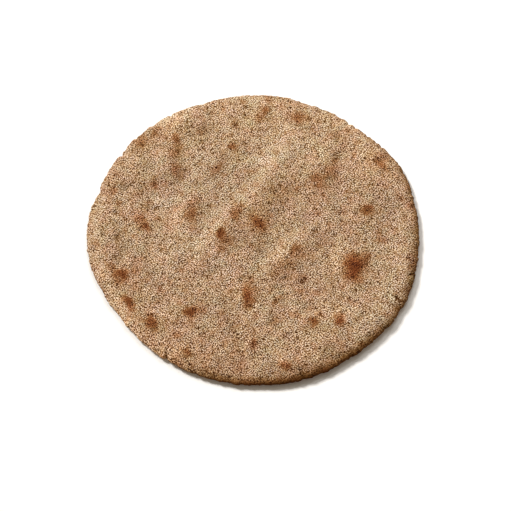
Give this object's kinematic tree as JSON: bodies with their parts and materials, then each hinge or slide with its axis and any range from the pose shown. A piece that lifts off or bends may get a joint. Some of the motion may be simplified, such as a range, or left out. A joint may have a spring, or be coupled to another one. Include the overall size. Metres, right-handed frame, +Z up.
{
  "type": "chapati flatbread",
  "caption": "Round hand-patted wholegrain flatbread with a slightly thicker rim, soft folds, scorched blisters and one split in its edge, lying flat.",
  "frame": {"origin": "middle of the footprint's box, on the plane the bread rests on", "axes": "+Z up through the thickness; +Y away from the side that faces the viewer, +X to the viewer's right"},
  "size_m": [0.18, 0.1798, 0.0057],
  "materials": {
    "crust": "dry, matt, speckled wholegrain crust with brown scorch marks"
  },
  "bodies": {
    "root": {"flatbread": "crust"}
  },
  "joints": []
}
